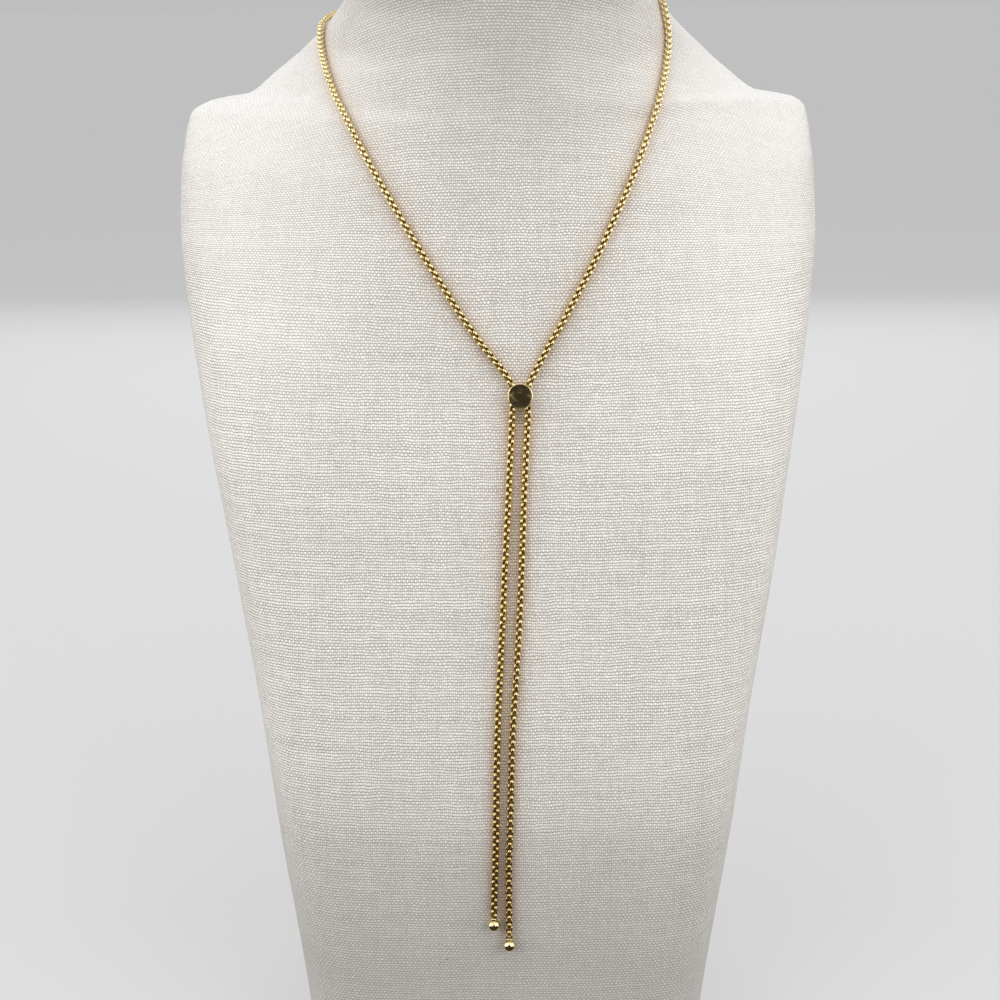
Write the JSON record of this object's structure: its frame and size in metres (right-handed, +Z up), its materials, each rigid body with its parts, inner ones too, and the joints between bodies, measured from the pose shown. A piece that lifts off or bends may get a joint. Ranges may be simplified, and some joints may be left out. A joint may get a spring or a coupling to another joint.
{
  "type": "y necklace on neck bust",
  "caption": "Bolo y necklace: a round box chain drawn through a slider disc, with balls on its tails, worn on a plain linen neck bust.",
  "frame": {"origin": "middle of the bust's flat base, on the surface that it stands on", "axes": "+Z up along the bust, -Y out of its chest towards the viewer, +X to the viewer's right"},
  "size_m": [0.226, 0.1965, 0.39],
  "materials": {
    "linen": "plain woven off-white linen",
    "gold_chain": "bright gold tone",
    "gold_polished": "mirror-polished gold tone"
  },
  "bodies": {
    "root": {"neck_bust": "linen", "chain": "gold_chain", "slider_disc": "gold_polished", "ball_left": "gold_polished", "ball_right": "gold_polished"}
  },
  "joints": []
}
